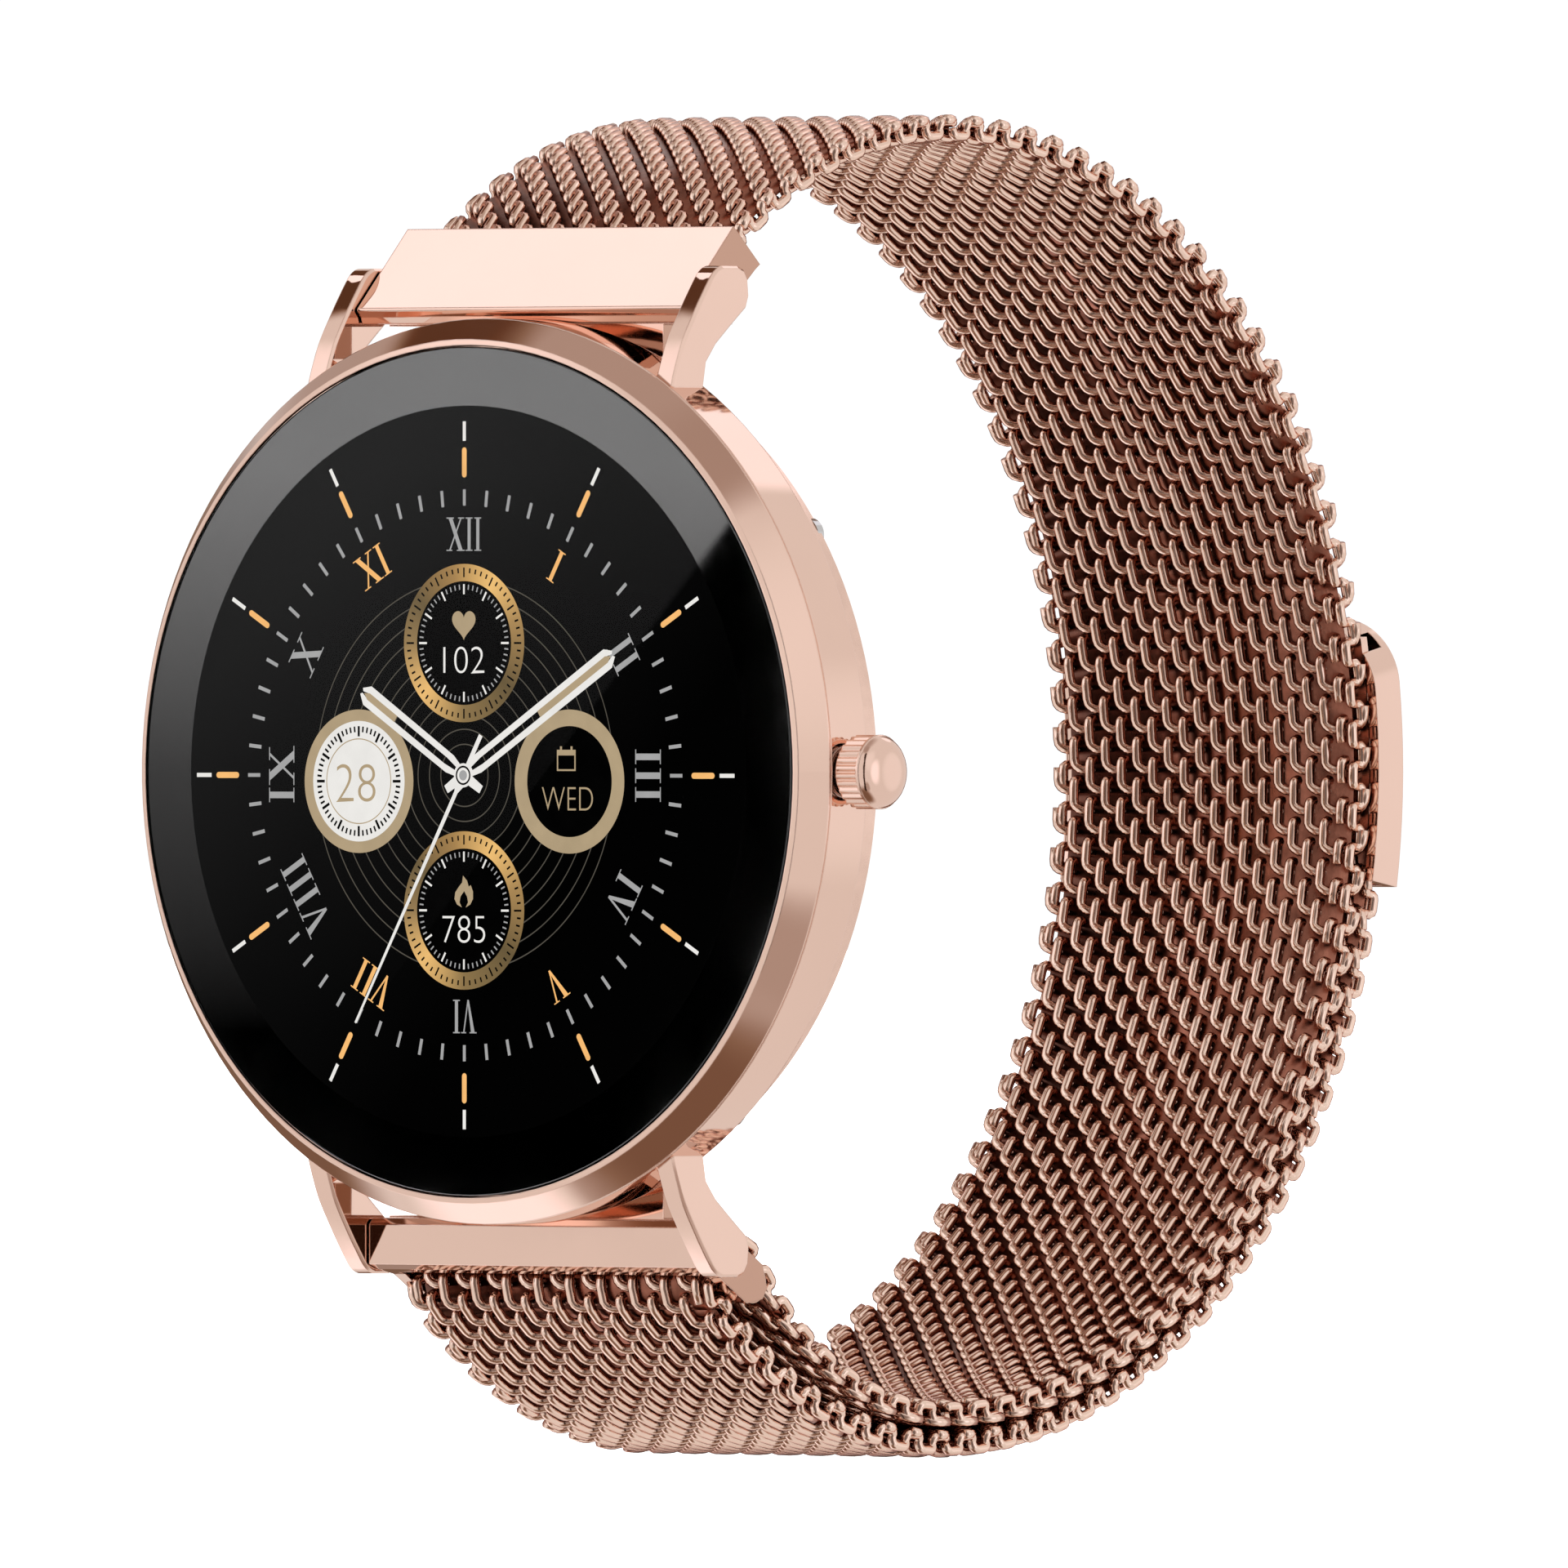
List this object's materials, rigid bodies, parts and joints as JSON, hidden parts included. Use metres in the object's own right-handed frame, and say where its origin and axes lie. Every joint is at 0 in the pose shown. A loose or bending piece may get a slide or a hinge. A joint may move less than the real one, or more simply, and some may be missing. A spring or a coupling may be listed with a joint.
{
  "type": "smartwatch",
  "caption": "Round smartwatch with a lit dial, a push-and-turn crown, four lugs and a woven mesh band that folds through a buckle to a magnetic clasp.",
  "frame": {"origin": "centre of the sensor window's outer face, on the case's axis, where the watch rests on the wrist", "axes": "+X to 3 o'clock and the crown, +Z to 12 o'clock, -Y out of the display, +Y towards the wrist"},
  "size_m": [0.0445, 0.0567, 0.0626],
  "materials": {
    "rose_gold": "polished rose-gold plated steel",
    "rose_mesh": "woven rose-gold plated steel wire",
    "brushed_rose_steel": "brushed rose-gold steel",
    "watch_glass": "clear hardened glass",
    "display": "lit black display",
    "black_seal": "black seal",
    "flex_film": "amber polyimide film",
    "dark_plastic": "black moulded plastic",
    "white_plastic": "white moulded plastic",
    "circuit_board": "green solder mask",
    "chip_black": "black chip packages",
    "battery_foil": "foil pouch",
    "steel": "turned steel",
    "spring_steel": "drawn spring wire",
    "sensor_glass": "dark polished window",
    "sensor_diodes": "green light-emitting and photo diodes",
    "contact_gold": "gold-plated contact",
    "magnet": "nickel-plated magnet"
  },
  "bodies": {
    "case": {"case_middle": "rose_gold", "glass": "watch_glass", "glass_seal": "black_seal", "display_panel": "display", "display_cable": "flex_film", "inner_carrier": "dark_plastic", "main_board": "circuit_board", "board_chips": "chip_black", "battery": "battery_foil", "vibration_motor": "steel", "case_back": "brushed_rose_steel", "back_gasket": "black_seal", "back_screws": "steel", "sensor_window": "sensor_glass", "sensor_board": "circuit_board", "sensor_optics": "sensor_diodes", "charging_rings": "contact_gold", "crown_tube": "steel", "crown_spring": "spring_steel", "encoder_bracket": "steel", "push_switch": "dark_plastic", "upper_bar_tube": "steel", "upper_bar_spring": "spring_steel", "lower_bar_tube": "steel", "lower_bar_spring": "spring_steel"},
    "crown_rotor": {"encoder_wheel": "dark_plastic"},
    "crown": {"crown_cap": "rose_gold", "crown_stem": "steel", "stem_clip": "spring_steel", "crown_seal": "black_seal"},
    "plunger": {"switch_plunger": "white_plastic"},
    "upper_left_tip": {"upper_bar_left_tip": "steel"},
    "upper_right_tip": {"upper_bar_right_tip": "steel"},
    "lower_left_tip": {"lower_bar_left_tip": "steel"},
    "lower_right_tip": {"lower_bar_right_tip": "steel"},
    "upper_band": {"upper_link": "rose_gold", "mesh_upper_1": "rose_mesh"},
    "upper_band_2": {"mesh_upper_2": "rose_mesh"},
    "upper_band_3": {"mesh_upper_3": "rose_mesh"},
    "lower_band": {"buckle": "rose_gold", "mesh_fold": "rose_mesh", "mesh_lower_3": "rose_mesh", "mesh_lower_2": "rose_mesh", "mesh_lower_1": "rose_mesh"},
    "tail_1": {"mesh_tail_1": "rose_mesh"},
    "tail_2": {"mesh_tail_2": "rose_mesh"},
    "tail_3": {"mesh_tail_3": "rose_mesh"},
    "tail_4": {"mesh_tail_4": "rose_mesh"},
    "tail_5": {"mesh_tail_5": "rose_mesh", "clasp_tab": "rose_gold", "clasp_cover": "brushed_rose_steel", "clasp_magnets": "magnet"}
  },
  "joints": [
    {"name": "crown_turn", "type": "hinge", "parent": "case", "child": "crown_rotor", "pos_m": [0.0165, -0.0077, 0], "axis": [1, 0, 0], "continuous": true},
    {"name": "crown_press", "type": "slide", "parent": "crown_rotor", "child": "crown", "axis": [-1, 0, 0], "range_m": [0, 0.0003], "stiffness_N_per_m": 2000, "deforming": ["crown_spring"]},
    {"name": "plunger_press", "type": "slide", "parent": "case", "child": "plunger", "axis": [-1, 0, 0], "range_m": [0, 0.0003]},
    {"name": "upper_left_tip_slide", "type": "slide", "parent": "case", "child": "upper_left_tip", "axis": [1, 0, 0], "range_m": [0, 0.0008], "stiffness_N_per_m": 800, "deforming": ["upper_bar_spring"]},
    {"name": "upper_right_tip_slide", "type": "slide", "parent": "case", "child": "upper_right_tip", "axis": [-1, 0, 0], "range_m": [0, 0.0008], "stiffness_N_per_m": 800, "deforming": ["upper_bar_spring"]},
    {"name": "lower_left_tip_slide", "type": "slide", "parent": "case", "child": "lower_left_tip", "axis": [1, 0, 0], "range_m": [0, 0.0008], "stiffness_N_per_m": 800, "deforming": ["lower_bar_spring"]},
    {"name": "lower_right_tip_slide", "type": "slide", "parent": "case", "child": "lower_right_tip", "axis": [-1, 0, 0], "range_m": [0, 0.0008], "stiffness_N_per_m": 800, "deforming": ["lower_bar_spring"]},
    {"name": "upper_link_swing", "type": "hinge", "parent": "case", "child": "upper_band", "pos_m": [0, -0.0048, 0.0217], "axis": [1, 0, 0], "range_deg": [0, 25]},
    {"name": "upper_rows_1", "type": "hinge", "parent": "upper_band", "child": "upper_band_2", "pos_m": [0, 0.01385, 0.0306], "axis": [1, 0, 0], "range_deg": [0, 15]},
    {"name": "upper_rows_2", "type": "hinge", "parent": "upper_band_2", "child": "upper_band_3", "pos_m": [0, 0.03227, 0.02444], "axis": [1, 0, 0], "range_deg": [0, 15]},
    {"name": "buckle_swing", "type": "hinge", "parent": "case", "child": "lower_band", "pos_m": [0, -0.0048, -0.0217], "axis": [-1, 0, 0], "range_deg": [0, 25]},
    {"name": "tail_peel_1", "type": "hinge", "parent": "lower_band", "child": "tail_1", "pos_m": [0, -0.00315, -0.02543], "axis": [-1, 0, 0], "range_deg": [0, 18]},
    {"name": "tail_peel_2", "type": "hinge", "parent": "tail_1", "child": "tail_2", "pos_m": [0, 0.00473, -0.03032], "axis": [-1, 0, 0], "range_deg": [0, 18]},
    {"name": "tail_peel_3", "type": "hinge", "parent": "tail_2", "child": "tail_3", "pos_m": [0, 0.01385, -0.03202], "axis": [-1, 0, 0], "range_deg": [0, 18]},
    {"name": "tail_peel_4", "type": "hinge", "parent": "tail_3", "child": "tail_4", "pos_m": [0, 0.02885, -0.02829], "axis": [-1, 0, 0], "range_deg": [0, 18]},
    {"name": "tail_peel_5", "type": "hinge", "parent": "tail_4", "child": "tail_5", "pos_m": [0, 0.04035, -0.01797], "axis": [-1, 0, 0], "range_deg": [0, 18]}
  ],
  "couplings": [
    {"joint": "plunger_press", "follows": "crown_press", "ratio": 1}
  ]
}
